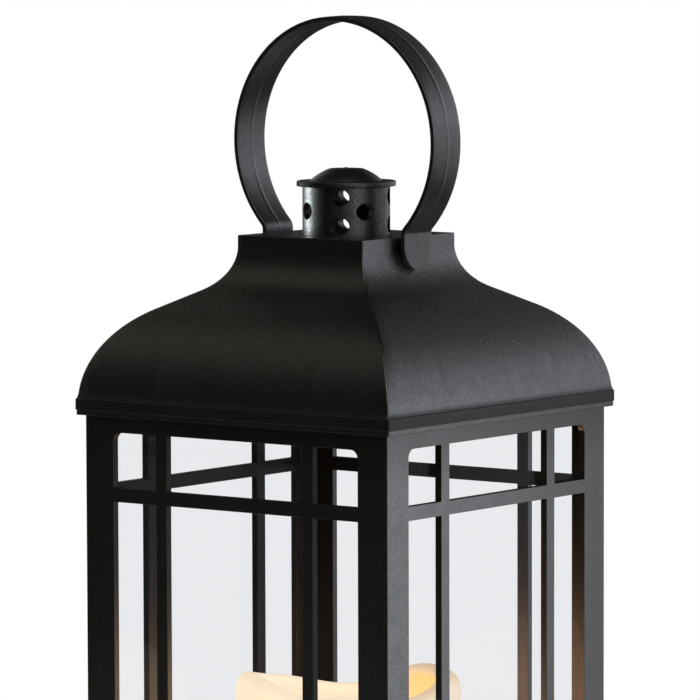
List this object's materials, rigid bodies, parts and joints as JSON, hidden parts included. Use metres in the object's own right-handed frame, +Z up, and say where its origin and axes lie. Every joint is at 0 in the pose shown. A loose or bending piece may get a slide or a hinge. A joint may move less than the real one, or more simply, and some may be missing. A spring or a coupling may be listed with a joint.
{
  "type": "lantern table lamp",
  "caption": "Square table lantern with an ogee roof, perforated vent, swinging strap ring handle, barred window frames with clear panes, and a battery candle inside.",
  "frame": {"origin": "centre of the underside of the feet, on the table", "axes": "+Z up, -Y the front window, +X the right window; the ring handle pivots about a line along X"},
  "size_m": [0.169, 0.169, 0.406],
  "materials": {
    "black_plastic": "satin, fine grain",
    "clear_pane": "clear, polished",
    "candle_wax": "waxy, faintly translucent, warm",
    "foot_rubber": "matte",
    "knob_plastic": "satin",
    "plated_steel": "zinc plated",
    "cell_sleeve": "printed foil, here plain",
    "lamp_epoxy": "warm tinted, clear",
    "board_laminate": "green lacquer",
    "red_insulation": "smooth",
    "black_insulation": "smooth"
  },
  "bodies": {
    "lantern": {"roof_shell": "black_plastic", "vent_tube": "black_plastic", "vent_cap": "black_plastic", "clamp_ring": "black_plastic", "front_frame": "black_plastic", "right_frame": "black_plastic", "back_frame": "black_plastic", "left_frame": "black_plastic", "front_pane": "clear_pane", "right_pane": "clear_pane", "back_pane": "clear_pane", "left_pane": "clear_pane", "plinth": "black_plastic", "bottom_cover": "black_plastic", "feet": "foot_rubber", "cover_screws": "plated_steel", "batteries": "cell_sleeve", "battery_springs": "plated_steel", "contact_plates": "plated_steel", "switch_case": "plated_steel", "candle_shell": "candle_wax", "candle_base": "black_plastic", "candle_screws": "plated_steel", "lamp_led": "lamp_epoxy", "circuit_board": "board_laminate", "lamp_wires": "red_insulation", "battery_wires": "red_insulation", "switch_wires": "black_insulation"},
    "handle": {"ring_handle": "black_plastic"},
    "door": {"battery_door": "black_plastic", "door_screw": "plated_steel"},
    "knob": {"switch_knob": "knob_plastic"}
  },
  "joints": [
    {"name": "handle_swing", "type": "hinge", "parent": "lantern", "child": "handle", "pos_m": [0, 0, 0.30875], "axis": [1, 0, 0], "range_deg": [-90, 90]},
    {"name": "battery_door_swing", "type": "hinge", "parent": "lantern", "child": "door", "pos_m": [-0.0294, 0, 0.0015], "axis": [0, 1, 0], "range_deg": [0, 75]},
    {"name": "switch_slide", "type": "slide", "parent": "lantern", "child": "knob", "axis": [1, 0, 0], "range_m": [0, 0.005]}
  ]
}
